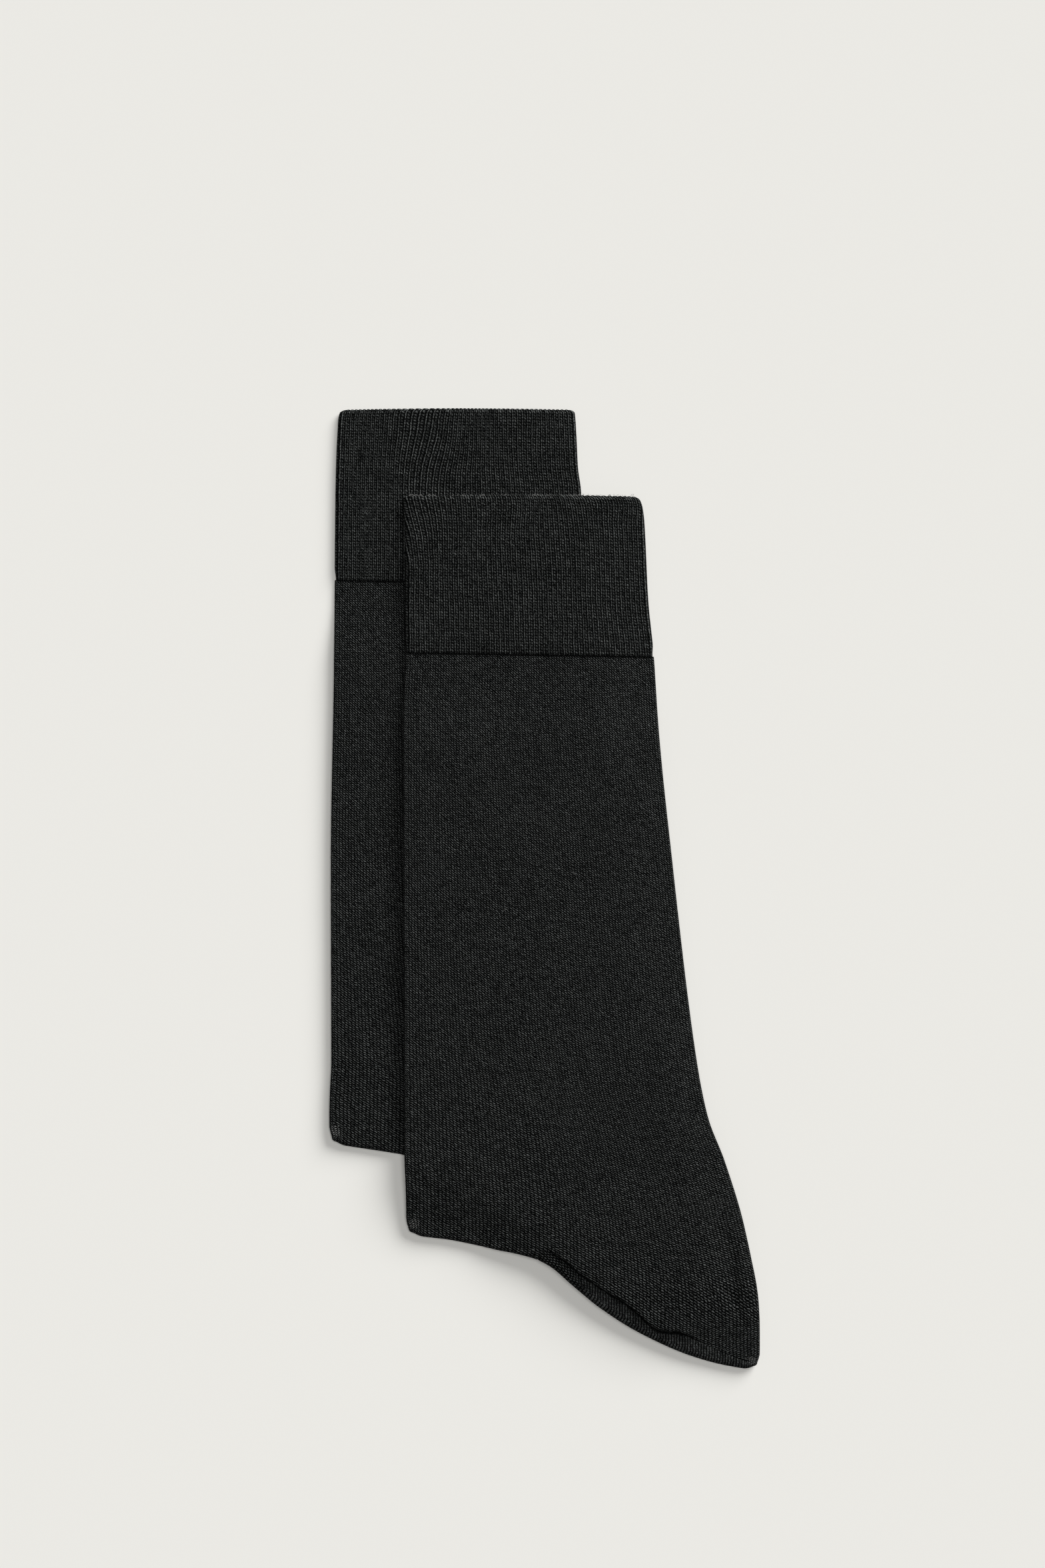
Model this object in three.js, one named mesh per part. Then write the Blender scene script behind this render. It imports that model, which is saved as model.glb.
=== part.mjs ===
// A pair of fine-gauge dress socks, each pressed flat and folded once at the ankle, one on the other.
//
// Millimetres, +Z up, seen from above with the cuffs towards +Y. The origin is the middle of the
// footprint, on the surface that the pair rests on. In each sock the leg lies on top, the turn at
// the ankle is the lower edge, and the foot lies hidden under the leg with its toe towards the cuff.
// A flattened tube is swept along the path: cuff, leg, round the turn, foot, toe.

import * as THREE from 'three';

// Cloth, and how the layers lie
const wall = 1.0;
const layerGap = 0.3;
const looseGap = 0.25;
const looseRun = 0.05;
const seamGap = 0.3;
const tubeThick = 2 * wall;
const footLift = tubeThick + layerGap;
const turnHeight = (footLift + tubeThick) / 2;
const turnRadius = footLift / 2;

// Ribbed cuff: a double wall with an open mouth, the ribs raised on its upper face
const cuffWall = 1.5;
const mouthSlit = 0.3;
const cuffHalf = cuffWall + mouthSlit / 2;
const ribRise = 0.35;
const ribWave = 0.007;
const cuffEndDrop = 0.5;

// The hidden foot
const footInset = 3;
const footInsetRun = 0.12;
const toeLong = 42;
const toeBlunt = 2.6;
const toeTip = 0.985;
const bowRun = 0.55;
const edgeRun = 0.15;
const legToFoot = 0.86;
const rampLong = 24;
const rampLead = 2;

// How the upper sock comes down to the floor past the lower one
const restGap = 0.5;
const fallStart = 1;
const fallRight = 24;
const fallBelow = 20;

// The lower sock lies this far from the upper one, and takes these later rows of its edges
const shift = { x: -27, y: 32.6 };
const hiddenRightFrom = 5;
const hiddenTurnFrom = 4;

// Edges of the upper sock as it lies, from the cuff's top down to the turn
const upperLeft = [
  { y: 147.9, x: -53.2 },
  { y: 130.6, x: -52.3 },
  { y: 88.0, x: -52.3 },
  { y: 68.6, x: -53.0 },
  { y: -60.0, x: -52.7 },
  { y: -101.4, x: -52.5 },
  { y: -116.4, x: -52.0 },
  { y: -130.0, x: -50.9 },
];
const upperRight = [
  { y: 147.9, x: 34.4 },
  { y: 146.6, x: 35.9 },
  { y: 143.6, x: 36.9 },
  { y: 138.6, x: 37.5 },
  { y: 108.6, x: 39.0 },
  { y: 88.6, x: 41.0 },
  { y: 58.6, x: 43.0 },
  { y: 8.6, x: 48.2 },
  { y: -41.4, x: 54.0 },
  { y: -66.4, x: 57.5 },
  { y: -76.4, x: 59.3 },
  { y: -86.4, x: 61.7 },
  { y: -101.4, x: 67.5 },
  { y: -126.4, x: 75.0 },
  { y: -153.9, x: 80.0 },
  { y: -166.4, x: 80.8 },
  { y: -180.0, x: 80.9 },
];
// The turn at the ankle, from the front of the ankle to the point of the heel
const upperTurn = [
  { x: -51.3, y: -127.0 },
  { x: -49.6, y: -128.8 },
  { x: -46.8, y: -129.9 },
  { x: -39.2, y: -130.8 },
  { x: -19.2, y: -134.7 },
  { x: -4.2, y: -138.1 },
  { x: 2.0, y: -141.1 },
  { x: 10.8, y: -148.6 },
  { x: 20.8, y: -156.8 },
  { x: 35.8, y: -166.3 },
  { x: 55.8, y: -175.2 },
  { x: 69.0, y: -178.7 },
  { x: 78.0, y: -179.9 },
  { x: 81.0, y: -179.7 },
];
// Edges of the lower sock where they show; the rest is the upper sock's, moved
const lowerLeft = [
  { y: 180.6, x: -75.2 },
  { y: 179.4, x: -76.9 },
  { y: 176.0, x: -77.5 },
  { y: 148.6, x: -78.5 },
  { y: 83.6, x: -79.0 },
  { y: 8.6, x: -80.2 },
  { y: -66.4, x: -80.0 },
  { y: -76.4, x: -80.4 },
  { y: -86.4, x: -80.8 },
  { y: -100.0, x: -80.6 },
];
const lowerRightSeen = [
  { y: 180.6, x: 10.2 },
  { y: 179.4, x: 11.4 },
  { y: 171.0, x: 12.0 },
  { y: 158.6, x: 12.6 },
  { y: 148.6, x: 13.8 },
];
const lowerTurnSeen = [
  { x: -80.8, y: -92.6 },
  { x: -78.6, y: -94.8 },
  { x: -74.2, y: -96.2 },
  { x: -64.2, y: -97.7 },
  { x: -54.2, y: -99.2 },
];

// The gore line of the heel: its distance round the cloth from the turn's outermost line
const gore = [
  { across: 0.0, reach: 0 },
  { across: 0.38, reach: 0 },
  { across: 0.43, reach: 5.5 },
  { across: 0.5, reach: 8.5 },
  { across: 0.6, reach: 9.6 },
  { across: 0.7, reach: 6.6 },
  { across: 0.78, reach: 9.2 },
  { across: 0.84, reach: 6.5 },
  { across: 0.9, reach: 0 },
  { across: 1.0, reach: 0 },
];

// Soft swellings of the upper face: middle, direction in degrees, half length and width, height
const swells = [
  { x: 28, y: -147, turn: -38, long: 26, wide: 5, high: 0.9 },
  { x: 56, y: -163, turn: -12, long: 12, wide: 4, high: 0.6 },
  { x: 63, y: -134, turn: -72, long: 22, wide: 4, high: 0.7 },
  { x: 76.5, y: -145, turn: -78, long: 24, wide: 2.5, high: 0.5 },
  { x: -5, y: -122, turn: -10, long: 30, wide: 7, high: 0.4 },
];

const swellEnd = 1.3;

const upper = {
  name: 'front',
  left: upperLeft,
  right: upperRight,
  turn: upperTurn,
  cuffTop: 147.9,
  seamLeft: 88.9,
  seamRight: 87.4,
  toeEnd: 55,
  ribs: 48,
  spans: 24,
  cuffSpans: 24,
  footSpans: 24,
  swells,
  rests: heightUnderUpper,
};
const lower = {
  name: 'back',
  left: lowerLeft,
  right: lowerRightSeen.concat(moved(upperRight.slice(hiddenRightFrom))),
  turn: lowerTurnSeen.concat(moved(upperTurn.slice(hiddenTurnFrom))),
  cuffTop: 180.5,
  seamLeft: 116.1,
  seamRight: 114.9,
  toeEnd: 88,
  ribs: 49,
  spans: 20,
  cuffSpans: 18,
  footSpans: 20,
  swells: [],
  rests: () => 0,
};

// Colour and finish of each piece
const looks = {
  cuff: { color: 0x2b2c31, roughness: 0.92, metalness: 0 },
  leg: { color: 0x303137, roughness: 0.9, metalness: 0 },
  heel: { color: 0x292a2f, roughness: 0.92, metalness: 0 },
  foot: { color: 0x303137, roughness: 0.9, metalness: 0 },
};

function moved(rows) {
  return rows.map((row) => ({ x: row.x + shift.x, y: row.y + shift.y }));
}

function mix(a, b, part) {
  return a + (b - a) * part;
}

function smooth(part) {
  const t = Math.min(1, Math.max(0, part));
  return t * t * (3 - 2 * t);
}

// A smooth curve through a table's rows: the value of one column for a value of another
function read(rows, keyColumn, valueColumn, key) {
  const rising = rows[rows.length - 1][keyColumn] > rows[0][keyColumn];
  const list = rising ? rows : rows.slice().reverse();
  const last = list.length - 1;
  if (key <= list[0][keyColumn]) return list[0][valueColumn];
  if (key >= list[last][keyColumn]) return list[last][valueColumn];
  let i = 0;
  while (list[i + 1][keyColumn] < key) i += 1;
  const rise = (column, a, b) => list[b][column] - list[a][column];
  const slope = (a, b) => rise(valueColumn, a, b) / rise(keyColumn, a, b);
  const here = slope(i, i + 1);
  const gentle = (other) => (other * here > 0 ? (2 * other * here) / (other + here) : 0);
  const before = i > 0 ? gentle(slope(i - 1, i)) : here;
  const after = i + 1 < last ? gentle(slope(i + 1, i + 2)) : here;
  const run = list[i + 1][keyColumn] - list[i][keyColumn];
  const t = (key - list[i][keyColumn]) / run;
  const bend = t * (1 - t) * run;
  return mix(list[i][valueColumn], list[i + 1][valueColumn], t)
    + bend * ((before - here) * (1 - t) - (after - here) * t);
}

// Height of the surface under the upper sock: the lower sock, then a soft fall to the floor
function heightUnderUpper(x, y) {
  const rampTop = lower.toeEnd;
  const onCuff = 2 * cuffHalf;
  const onFold = footLift + looseGap + tubeThick;
  const top = restGap + mix(onFold, onCuff, smooth((y - rampTop) / rampLong));
  const pastRight = Math.max(0, x - read(lower.right, 'y', 'x', y) - fallStart) / fallRight;
  const pastBelow = Math.max(0, read(lower.turn, 'x', 'y', x) - y - fallStart) / fallBelow;
  return top * (1 - smooth(Math.hypot(pastRight, pastBelow)));
}

// The line on which the turn begins, in plan, with the turn's own outward direction
function turnStart(sock, across) {
  const first = sock.turn[0].x + wall;
  const last = sock.turn[sock.turn.length - 1].x - wall;
  const x = mix(first, last, across);
  const step = 0.5;
  const edgeAt = (place) => read(sock.turn, 'x', 'y', place);
  const fall = (edgeAt(x + step) - edgeAt(x - step)) / (2 * step);
  const size = Math.hypot(1, fall);
  const out = { x: fall / size, y: -1 / size };
  return { x: x - out.x * turnHeight, y: edgeAt(x) - out.y * turnHeight, out };
}

// Middle of the flattened tube in plan. path: 0 to 1 down the leg, 1 to 2 the turn, 2 to 3 the foot
function middle(sock, across, path) {
  const start = turnStart(sock, across);
  if (path >= 1 && path <= 2) return start;
  const onFoot = path > 2;
  const part = onFoot ? path - 2 : path;
  const begin = turnStart(sock, 0);
  const end = turnStart(sock, 1);
  const leftY = onFoot ? mix(begin.y, sock.toeEnd, part) : mix(sock.seamLeft, begin.y, part);
  const rightY = onFoot ? mix(end.y, sock.toeEnd, part) : mix(sock.seamRight, end.y, part);
  const inset = onFoot ? footInset * smooth(part / footInsetRun) : 0;
  let leftX = read(sock.left, 'y', 'x', leftY) + inset + wall;
  let rightX = read(sock.right, 'y', 'x', rightY) - inset - wall;
  const nearTurn = 1 - smooth(onFoot ? part / footInsetRun : (1 - part) / edgeRun);
  leftX = mix(leftX, begin.x, nearTurn);
  rightX = mix(rightX, end.x, nearTurn);
  if (onFoot) {
    const intoToe = Math.max(0, (mix(leftY, rightY, 0.5) - sock.toeEnd + toeLong) / toeLong);
    const narrow = (1 - intoToe ** toeBlunt) ** (1 / toeBlunt);
    const centre = mix(leftX, rightX, 0.5);
    leftX = mix(centre, leftX, narrow);
    rightX = mix(centre, rightX, narrow);
  }
  const bowed = 1 - smooth((onFoot ? part * legToFoot : 1 - part) / bowRun);
  return {
    x: mix(leftX, rightX, across) + bowed * (start.x - mix(begin.x, end.x, across)),
    y: mix(leftY, rightY, across) + bowed * (start.y - mix(begin.y, end.y, across)),
    out: start.out,
  };
}

// Unit direction across the cloth, in plan
function acrossWay(sock, across, path) {
  const step = 0.01;
  const a = middle(sock, Math.max(0, across - step), path);
  const b = middle(sock, Math.min(1, across + step), path);
  const size = Math.hypot(b.x - a.x, b.y - a.y);
  return { x: (b.x - a.x) / size, y: (b.y - a.y) / size };
}

function swelling(sock, x, y) {
  let rise = 0;
  for (const row of sock.swells) {
    const angle = THREE.MathUtils.degToRad(row.turn);
    const along = (x - row.x) * Math.cos(angle) + (y - row.y) * Math.sin(angle);
    const aside = (y - row.y) * Math.cos(angle) - (x - row.x) * Math.sin(angle);
    rise += row.high * Math.exp(-((along / row.long) ** 2) - (aside / row.wide) ** 2);
  }
  return rise;
}

// A point of the swept cloth: across 0 to 1, aside past its end, up from its middle
function clothPoint(sock, spot, path) {
  const centre = middle(sock, spot.across, path);
  const way = acrossWay(sock, spot.across, path);
  let x = centre.x + way.x * spot.aside;
  let y = centre.y + way.y * spot.aside;
  const angle = Math.PI * Math.min(1, Math.max(0, path - 1));
  const floor = sock.rests(x, y);
  let up = spot.up;
  if (up > 0 && path < swellEnd) up += swelling(sock, x, y) * (1 - smooth(Math.abs(spot.aside) / wall));
  const reach = turnRadius + up;
  if (angle > 0 && angle < Math.PI) {
    x += centre.out.x * reach * Math.sin(angle);
    y += centre.out.y * reach * Math.sin(angle);
  }
  let rise = turnHeight + reach * Math.cos(angle);
  if (path <= 1) {
    const down = smooth((y - sock.toeEnd + rampLead) / rampLong);
    const loose = looseGap * smooth((1 - path) / looseRun);
    rise = wall + (footLift + loose) * (1 - down) + up;
  }
  return new THREE.Vector3(x, y, floor + rise);
}

// The same point, moved along the path by a given distance
function clothPointMoved(sock, spot, path, distance) {
  const step = 0.002;
  const here = clothPoint(sock, spot, path);
  if (distance === 0) return here;
  const way = clothPoint(sock, spot, path + step).sub(clothPoint(sock, spot, path - step)).normalize();
  return here.addScaledVector(way, distance);
}

// Section of a flattened tube, run clockwise: upper face, right edge, lower face, left edge
function flatLoop(spans, half, edgeSteps) {
  const loop = [];
  for (let i = 0; i <= spans; i += 1) loop.push({ across: i / spans, aside: 0, up: half });
  for (let i = 1; i < edgeSteps; i += 1) {
    const angle = (Math.PI * i) / edgeSteps;
    loop.push({ across: 1, aside: half * Math.sin(angle), up: half * Math.cos(angle) });
  }
  for (let i = spans; i >= 0; i -= 1) loop.push({ across: i / spans, aside: 0, up: -half });
  for (let i = edgeSteps - 1; i > 0; i -= 1) {
    const angle = (Math.PI * i) / edgeSteps;
    loop.push({ across: 0, aside: -half * Math.sin(angle), up: half * Math.cos(angle) });
  }
  return loop;
}

// The cuff's section: its upper face alternates crest and valley
function ribbedLoop(ribs, spans, half, edgeSteps) {
  const plain = flatLoop(spans, half, edgeSteps);
  const crests = [];
  for (let i = 0; i <= 2 * ribs; i += 1) {
    const low = i % 2 === 0 ? ribRise : 0;
    crests.push({ across: i / (2 * ribs), aside: 0, up: half - low });
  }
  return crests.concat(plain.slice(spans + 1));
}

// The two chains of a loop from its leftmost to its rightmost point, over the top and underneath
function chains(loop, offset, width) {
  const flat = (spot) => spot.across * width + spot.aside;
  const list = loop.map((spot, i) => ({ index: offset + i, x: flat(spot), up: spot.up }));
  const xs = list.map((point) => point.x);
  const first = xs.indexOf(Math.min(...xs));
  const last = xs.indexOf(Math.max(...xs));
  const walk = (way) => {
    const chain = [list[first]];
    for (let i = first; i !== last;) {
      i = (i + way + list.length) % list.length;
      chain.push(list[i]);
    }
    return chain;
  };
  return [walk(1), walk(-1)];
}

// Triangles between two chains, each advanced in turn so that none is long
function zip(one, other) {
  const faces = [];
  let i = 0;
  let j = 0;
  while (i + 1 < one.length || j + 1 < other.length) {
    const atEnd = j + 1 === other.length;
    const nearer = () => Math.abs(one[i + 1].x - other[j].x) <= Math.abs(other[j + 1].x - one[i].x);
    const stepOne = atEnd || (i + 1 < one.length && nearer());
    const next = stepOne ? one[i + 1] : other[j + 1];
    const [a, b] = [one[i], other[j]];
    const turn = (b.x - a.x) * (next.up - a.up) - (next.x - a.x) * (b.up - a.up);
    const real = new Set([a.index, b.index, next.index]).size === 3;
    if (real) faces.push(turn > 0 ? [a.index, b.index, next.index] : [a.index, next.index, b.index]);
    if (stepOne) i += 1;
    else j += 1;
  }
  return faces;
}

function capFaces(outer, inner, width) {
  const [top, under] = chains(outer, 0, width);
  if (inner.length === 0) return zip(top, under);
  const [topInside, underInside] = chains(inner, outer.length, width);
  return zip(top, topInside).concat(zip(under, underInside));
}

// A closed body through rows of points; inner is the loop of a hollow that is open at both ends
function sweep(rowCount, outer, inner, place, width) {
  const size = outer.length + inner.length;
  const positions = [];
  const faces = [];
  for (let row = 0; row < rowCount; row += 1) {
    for (const spot of outer.concat(inner)) positions.push(place(spot, row));
  }
  const wrap = (loop, offset, inward) => {
    for (let row = 0; row + 1 < rowCount; row += 1) {
      for (let i = 0; i < loop.length; i += 1) {
        const a = row * size + offset + i;
        const b = row * size + offset + ((i + 1) % loop.length);
        const c = b + size;
        const d = a + size;
        faces.push(inward ? [a, c, b] : [a, b, c]);
        faces.push(inward ? [a, d, c] : [a, c, d]);
      }
    }
  };
  wrap(outer, 0, false);
  wrap(inner, outer.length, true);
  const lastRow = (rowCount - 1) * size;
  for (const [a, b, c] of capFaces(outer, inner, width)) {
    faces.push([a, b, c]);
    faces.push([a + lastRow, c + lastRow, b + lastRow]);
  }
  let volume = 0;
  for (const [a, b, c] of faces) {
    volume += positions[a].dot(positions[b].clone().cross(positions[c]));
  }
  const index = faces.flatMap(([a, b, c]) => (volume > 0 ? [a, b, c] : [a, c, b]));
  const geometry = new THREE.BufferGeometry();
  const numbers = positions.flatMap((point) => point.toArray());
  geometry.setAttribute('position', new THREE.Float32BufferAttribute(numbers, 3));
  geometry.setIndex(index);
  return geometry;
}

// Rows that split a run from one value to another, both ends included
function steps(from, to, count) {
  return Array.from({ length: count + 1 }, (_, i) => mix(from, to, i / count));
}

const edgeSteps = 4;
const flatWidth = 100;

function cuff(sock) {
  const inner = flatLoop(sock.cuffSpans, mouthSlit / 2, 2);
  const outer = ribbedLoop(sock.ribs, sock.cuffSpans, cuffHalf, edgeSteps);
  const rows = [0, 0.022, 0.07, 0.22, 0.4, 0.6, 0.8, 1];
  const place = (spot, row) => {
    const part = rows[row];
    const leftY = mix(sock.cuffTop, sock.seamLeft + seamGap / 2, part);
    const rightY = mix(sock.cuffTop, sock.seamRight + seamGap / 2, part);
    const leftX = read(sock.left, 'y', 'x', leftY) + cuffHalf;
    const rightX = read(sock.right, 'y', 'x', rightY) - cuffHalf;
    const middleOf = Math.sin(Math.PI * spot.across);
    const wave = ribWave * middleOf * Math.sin(2 * Math.PI * (1.1 * part + spot.across));
    const across = spot.across + wave * (1 - part);
    const x = mix(leftX, rightX, across) + spot.aside;
    const y = mix(leftY, rightY, across) - cuffEndDrop * (1 - middleOf) * (1 - smooth(part / 0.3));
    return new THREE.Vector3(x, y, sock.rests(x, y) + cuffHalf + spot.up);
  };
  return sweep(rows.length, outer, inner, place, flatWidth);
}

// Where the leg ends and the heel begins on the path
function gorePath(sock, across) {
  const reach = read(gore, 'across', 'reach', across);
  const quarter = (Math.PI / 2) * turnHeight;
  if (reach < quarter) return 1.5 - 0.5 * (reach / quarter);
  const a = middle(sock, across, 0.96);
  const b = middle(sock, across, 1);
  const perPath = Math.hypot(b.x - a.x, b.y - a.y) / 0.04;
  return 1 - (reach - quarter) / perPath;
}

const closeRow = 0.02;
const upperLegRows = [
  ...steps(0, 0.24, 5),
  ...steps(0.24, 0.72, 4).slice(1),
  ...steps(0.72, 0.84, 2).slice(1),
  ...steps(0.84, 1, 8).slice(1),
];
const lowerLegRows = [...steps(0, 0.24, 4), ...steps(0.24, 1, 6).slice(1)];
const legLastRows = 4;

function leg(sock) {
  const shares = sock === upper ? upperLegRows : lowerLegRows;
  const count = shares.length + legLastRows;
  const place = (spot, row) => {
    const end = gorePath(sock, spot.across);
    const flatEnd = Math.min(1, end) - closeRow;
    const path = row < shares.length
      ? flatEnd * shares[row]
      : mix(flatEnd, end, (row - shares.length + 1) / legLastRows);
    const pulled = row === 0 ? seamGap / 2 : 0;
    return clothPointMoved(sock, spot, path, row === count - 1 ? -seamGap / 2 : pulled);
  };
  return sweep(count, flatLoop(sock.spans, wall, edgeSteps), [], place, flatWidth);
}

const bandRows = 3;
const leastBand = 0.03;
const turnRows = 6;
const underRows = 4;
const heelUnder = (underRows * closeRow) / legToFoot;

function heel(sock) {
  const place = (spot, row) => {
    const begin = gorePath(sock, spot.across);
    const bandEnd = Math.max(1, begin + leastBand);
    let path = mix(begin, bandEnd, row / bandRows);
    if (row > bandRows) path = mix(bandEnd, 2, (row - bandRows) / turnRows);
    if (row > bandRows + turnRows) path = 2 + (heelUnder * (row - bandRows - turnRows)) / underRows;
    const last = row === bandRows + turnRows + underRows;
    return clothPointMoved(sock, spot, path, row === 0 ? seamGap / 2 : last ? -seamGap / 2 : 0);
  };
  const count = bandRows + turnRows + underRows + 1;
  return sweep(count, flatLoop(sock.spans, wall, edgeSteps), [], place, flatWidth);
}

const toeFrom = 0.82;
const toeThin = 0.6;
const footRowsUpper = [...steps(heelUnder, 0.2, 4), ...steps(0.2, toeFrom, 8).slice(1)];
const footRowsLower = steps(heelUnder, toeFrom, 5);
const toeShares = [0.5, 0.72, 0.86, 0.94, toeTip];

function foot(sock) {
  const shares = sock === upper ? footRowsUpper : footRowsLower;
  const rows = shares.concat(toeShares.map((part) => mix(toeFrom, 1, part)));
  const place = (spot, row) => {
    const rounding = row === rows.length - 1 ? toeThin : 1;
    const up = wall + (spot.up - wall) * rounding;
    const thin = { across: spot.across, aside: spot.aside * rounding, up };
    return clothPointMoved(sock, thin, 2 + rows[row], row === 0 ? seamGap / 2 : 0);
  };
  return sweep(rows.length, flatLoop(sock.footSpans, wall, edgeSteps), [], place, flatWidth);
}

const makers = { cuff, leg, heel, foot };
const pair = new THREE.Group();
for (const sock of [upper, lower]) {
  for (const piece of Object.keys(makers)) {
    const mesh = new THREE.Mesh(makers[piece](sock), new THREE.MeshStandardMaterial(looks[piece]));
    mesh.name = `${sock.name}_${piece}`;
    pair.add(mesh);
  }
}

// The footprint's middle goes to the origin
const box = new THREE.Box3().setFromObject(pair);
pair.position.set(-(box.min.x + box.max.x) / 2, -(box.min.y + box.max.y) / 2, -box.min.z);

export default pair;
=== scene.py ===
"""Looks of a pair of folded dress socks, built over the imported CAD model.

The shapes are worked out in millimetres, in the table's own coordinates, and put into the frame
in metres at the end. Each sock is a flattened knitted tube: cuff, leg, heel and foot.
"""

import math

import bpy
import numpy as np
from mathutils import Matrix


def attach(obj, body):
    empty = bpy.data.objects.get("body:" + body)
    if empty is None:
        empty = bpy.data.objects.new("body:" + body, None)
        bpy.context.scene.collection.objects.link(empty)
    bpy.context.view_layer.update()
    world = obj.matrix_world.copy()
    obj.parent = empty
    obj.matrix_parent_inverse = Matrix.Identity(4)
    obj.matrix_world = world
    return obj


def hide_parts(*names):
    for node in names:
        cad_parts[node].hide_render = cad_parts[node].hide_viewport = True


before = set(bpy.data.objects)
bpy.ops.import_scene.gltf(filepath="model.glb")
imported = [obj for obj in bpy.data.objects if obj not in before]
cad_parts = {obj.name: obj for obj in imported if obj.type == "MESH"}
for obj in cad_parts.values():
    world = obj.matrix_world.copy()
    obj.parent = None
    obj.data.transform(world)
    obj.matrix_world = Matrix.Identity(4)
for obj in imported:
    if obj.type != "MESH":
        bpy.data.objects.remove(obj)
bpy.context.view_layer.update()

# Where the tables' origin lies in the frame
TABLE_X = -0.38
TABLE_Y = -0.36
MM = 0.001

# Cloth, and how the layers lie, as in the CAD
WALL = 1.0
LAYER_GAP = 0.3
LOOSE_GAP = 0.25
LOOSE_RUN = 0.05
FOOT_LIFT = 2 * WALL + LAYER_GAP
TURN_HEIGHT = (FOOT_LIFT + 2 * WALL) / 2
TURN_RADIUS = FOOT_LIFT / 2
CUFF_HALF = 1.65
FOOT_INSET = 3
FOOT_INSET_RUN = 0.12
TOE_LONG = 42
TOE_BLUNT = 2.6
BOW_RUN = 0.55
EDGE_RUN = 0.15
LEG_TO_FOOT = 0.86
RAMP_LONG = 24
RAMP_LEAD = 2
REST_GAP = 0.5
FALL_START = 1
FALL_RIGHT = 28
FALL_BELOW = 30
SHIFT = (-27, 32.6)

# The knit: half the hollow inside a flattened tube, and the sizes of its stitches
HOLLOW = 0.45
CUFF_HOLLOW = 0.15
WALES = 95
COURSE = 0.875
RIB_COURSE = 1.1
HEEL_WALE = 1.15
HEEL_COURSE = 0.95
HEEL_CLOSER = 0.3
HEEL_CLOSER_FROM = -115
FAR = 30

# Edges of the upper sock: y, then x
UPPER_LEFT = [
    (147.9, -53.2),
    (130.6, -52.3),
    (88.0, -52.3),
    (68.6, -53.0),
    (-60.0, -52.7),
    (-101.4, -52.5),
    (-116.4, -52.0),
    (-130.0, -50.9),
]
UPPER_RIGHT = [
    (147.9, 34.4),
    (146.6, 35.9),
    (143.6, 36.9),
    (138.6, 37.5),
    (108.6, 39.0),
    (88.6, 41.0),
    (58.6, 43.0),
    (8.6, 48.2),
    (-41.4, 54.0),
    (-66.4, 57.5),
    (-76.4, 59.3),
    (-86.4, 61.7),
    (-101.4, 67.5),
    (-126.4, 75.0),
    (-153.9, 80.0),
    (-166.4, 80.8),
    (-180.0, 80.9),
]
# The turn at the ankle: x, then y
UPPER_TURN = [
    (-52.0, -129.6),
    (-49.6, -129.7),
    (-46.8, -129.9),
    (-39.2, -130.8),
    (-19.2, -134.7),
    (-4.2, -138.1),
    (2.0, -141.1),
    (10.8, -148.6),
    (20.8, -156.8),
    (35.8, -166.3),
    (55.8, -175.2),
    (69.0, -178.7),
    (78.0, -179.9),
    (81.0, -179.7),
]
# Edges of the lower sock where they show
LOWER_LEFT = [
    (180.6, -75.2),
    (179.4, -76.9),
    (176.0, -77.5),
    (148.6, -78.5),
    (83.6, -79.0),
    (8.6, -80.2),
    (-66.4, -80.0),
    (-76.4, -80.4),
    (-86.4, -80.8),
    (-100.0, -80.6),
]
LOWER_RIGHT_SEEN = [
    (180.6, 10.2),
    (179.4, 11.4),
    (171.0, 12.0),
    (158.6, 12.6),
    (148.6, 13.8),
]
LOWER_TURN_SEEN = [
    (-80.9, -95.4),
    (-78.6, -95.6),
    (-74.2, -96.2),
    (-64.2, -97.7),
    (-54.2, -99.2),
]
# The gore line of the heel as it lies on the upper sock: x, then y
GORE = [
    (-9.0, -150.0),
    (-4.0, -144.0),
    (-1.0, -137.0),
    (0.5, -134.6),
    (3.2, -136.2),
    (8.2, -139.6),
    (12.5, -143.4),
    (17.4, -146.8),
    (24.0, -151.2),
    (29.9, -154.7),
    (35.7, -159.6),
    (40.7, -164.2),
    (44.0, -165.6),
    (50.0, -165.9),
    (53.5, -167.0),
    (58.0, -169.4),
    (64.0, -172.2),
    (70.0, -174.7),
    (76.0, -177.0),
    (82.0, -179.0),
]
# How far the leg stands over the heel band along that line, which also sets the painted shade under the
# lip: x, then share
GORE_LIP = [
    (-5, 0.0),
    (0, 0.0),
    (6, 0.4),
    (20, 0.55),
    (29, 0.85),
    (38, 1.0),
    (50, 1.0),
    (54, 0.5),
    (60, 0.0),
    (80, 0.0),
]
# Soft swellings of the upper face: x, y, direction in degrees, half length and width, height
SWELLS = [
    (28, -147, -38, 26, 5, 0.9),
    (56, -162, -8, 12, 4, 0.6),
    (62, -134, -72, 24, 4, 0.6),
    (70.4, -146, -84, 16, 2.1, -1.4),
    (75.2, -147, -84, 20, 2.5, 1.4),
    (-5, -122, -10, 30, 7, 0.4),
    (-2.0, -136.5, 75, 5, 0.7, 0.35),
    (-5.5, -133.5, 80, 6, 0.8, 0.3),
    (-9.5, -132.5, 84, 6, 0.8, 0.25),
]
# Rounded corners in plan: x and y of the square corner, its direction, and the radius
UPPER_CORNERS = [
    (-51.6, -130.0, -1, -1, 6.5),
    (81.1, -180.2, 1, -1, 6.5),
]
LOWER_CORNERS = [
    (-80.9, -95.8, -1, -1, 6.5),
]
# How the courses of the leg bow towards its right edge: y, then slope there
COURSE_SLOPE = [
    (120, 0.05),
    (88, 0.07),
    (30, 0.10),
    (-40, 0.15),
    (-90, 0.19),
    (-120, 0.17),
    (-145, 0.05),
    (-165, -0.10),
    (-190, -0.10),
]
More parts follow.
